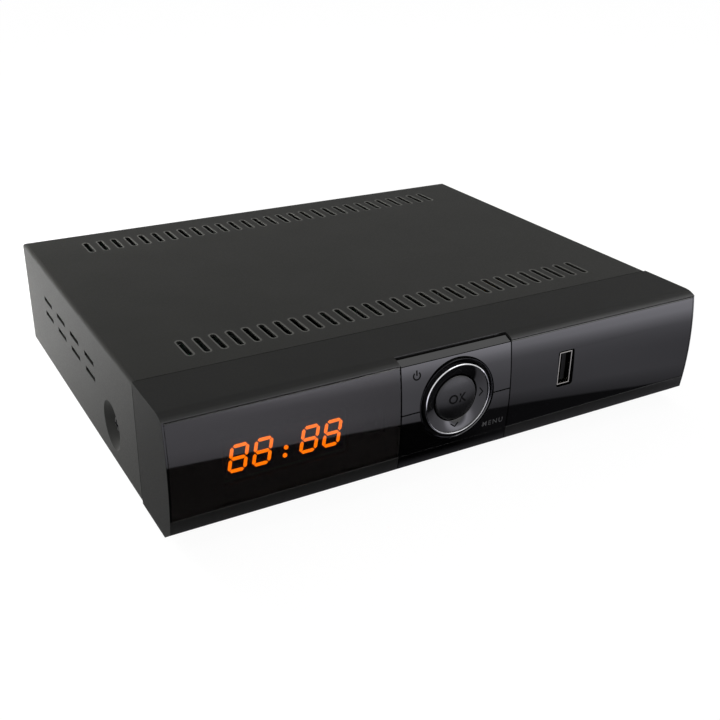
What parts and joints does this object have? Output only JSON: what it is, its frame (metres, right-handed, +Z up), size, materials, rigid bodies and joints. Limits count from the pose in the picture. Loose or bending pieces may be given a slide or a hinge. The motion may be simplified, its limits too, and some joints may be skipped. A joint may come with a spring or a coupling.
{
  "type": "satellite tv receiver",
  "caption": "Low set-top receiver with a folded steel case, slotted top, convex gloss front panel, LED clock, four-way pad with centre button, plate keys and a front USB socket.",
  "frame": {"origin": "on the surface that the feet stand on, under the middle of the overall box", "axes": "+X to the right seen from the front, the front faces -Y, +Z up"},
  "size_m": [0.22, 0.1904, 0.0488],
  "materials": {
    "cover_paint": "dark grey satin powder coat",
    "zinc_sheet": "zinc-plated sheet steel",
    "foot_rubber": "matt black rubber",
    "screw_steel": "black-oxide steel",
    "bright_steel": "bright zinc-plated steel",
    "panel_plastic": "satin dark grey moulded plastic",
    "gloss_black": "gloss black moulded plastic",
    "smoked_lens": "gloss smoked acrylic",
    "trim_silver": "bright metallised ring",
    "button_gloss": "dark lacquered plastic",
    "black_plastic": "black moulded plastic",
    "board_green": "green solder resist on glass-fibre board",
    "board_tan": "paper-phenolic board",
    "chip_black": "moulded epoxy",
    "lit_orange": "lit orange segments",
    "display_grey": "dark display face",
    "eye_dark": "dark infrared-clear resin",
    "socket_nickel": "nickel plate",
    "contact_gold": "gold-plated contacts",
    "fin_aluminium": "extruded aluminium",
    "film_clear": "insulating film",
    "ferrite": "sintered ferrite",
    "winding_tape": "yellow winding tape",
    "capacitor_sleeve": "dark blue shrink sleeve on aluminium cans",
    "filter_red": "red-lacquered iron wound ring",
    "fuse_glass": "glass tube fuse with bright caps",
    "lead_grey": "grey flat lead",
    "header_cream": "cream nylon headers",
    "jack_yellow": "yellow plastic",
    "jack_white": "white plastic",
    "jack_red": "red plastic"
  },
  "bodies": {
    "case": {"base_tray": "zinc_sheet", "top_cover": "cover_paint", "foot_front_left": "foot_rubber", "foot_front_right": "foot_rubber", "foot_rear_left": "foot_rubber", "foot_rear_right": "foot_rubber", "side_screws": "screw_steel", "rear_screws": "screw_steel", "inner_screws": "bright_steel", "board_standoffs": "bright_steel", "insulation_sheet": "film_clear", "front_bezel": "panel_plastic", "display_lens": "smoked_lens", "usb_fascia": "gloss_black", "key_frame": "black_plastic", "front_pcb": "board_green", "tact_switches": "black_plastic", "led_display": "display_grey", "display_holder": "black_plastic", "display_digits": "lit_orange", "ir_receiver": "eye_dark", "usb_shell": "socket_nickel", "usb_tongue": "black_plastic", "usb_contacts": "contact_gold", "main_pcb": "board_green", "decoder_chip": "chip_black", "chip_heatsink": "fin_aluminium", "memory_chips": "chip_black", "tuner_can": "bright_steel", "tuner_lid": "bright_steel", "lnb_in_connector": "socket_nickel", "loop_out_connector": "socket_nickel", "power_pcb": "board_tan", "transformer_core": "ferrite", "transformer_winding": "winding_tape", "bulk_capacitor": "capacitor_sleeve", "output_capacitors": "capacitor_sleeve", "line_filter": "filter_red", "mains_fuse": "fuse_glass", "power_heatsink": "fin_aluminium", "ribbon_lead": "lead_grey", "lead_headers": "header_cream", "power_lead": "lead_grey", "hdmi_shell": "socket_nickel", "hdmi_tongue": "black_plastic", "scart_socket": "black_plastic", "av_jack_block": "black_plastic", "jack_sleeves": "socket_nickel", "jack_collar_video": "jack_yellow", "jack_collar_left": "jack_white", "jack_collar_right": "jack_red", "socket_inserts": "header_cream", "mains_inlet": "black_plastic", "inlet_pins": "socket_nickel"},
    "power_key": {"power_key": "gloss_black"},
    "menu_key": {"menu_key": "gloss_black"},
    "ok_button": {"ok_button": "button_gloss"},
    "nav_gimbal": {"nav_flex_ring": "black_plastic"},
    "nav_pad": {"nav_ring": "gloss_black", "nav_trim_ring": "trim_silver"}
  },
  "joints": [
    {"name": "power_key_press", "type": "slide", "parent": "case", "child": "power_key", "axis": [0, 1, 0], "range_m": [0, 0.0005], "stiffness_N_per_m": 3000},
    {"name": "menu_key_press", "type": "slide", "parent": "case", "child": "menu_key", "axis": [0, 1, 0], "range_m": [0, 0.0005], "stiffness_N_per_m": 3000},
    {"name": "ok_button_press", "type": "slide", "parent": "case", "child": "ok_button", "axis": [0, 1, 0], "range_m": [0, 0.0005], "stiffness_N_per_m": 3000},
    {"name": "pad_rock_up_down", "type": "hinge", "parent": "case", "child": "nav_gimbal", "pos_m": [-0.0038, -0.09032, 0.03], "axis": [1, 0, 0], "range_deg": [-2.5, 2.5], "stiffness_Nm_per_rad": 0.4},
    {"name": "pad_rock_left_right", "type": "hinge", "parent": "nav_gimbal", "child": "nav_pad", "pos_m": [-0.0038, -0.09032, 0.03], "axis": [0, 0, 1], "range_deg": [-2.5, 2.5], "stiffness_Nm_per_rad": 0.4}
  ]
}
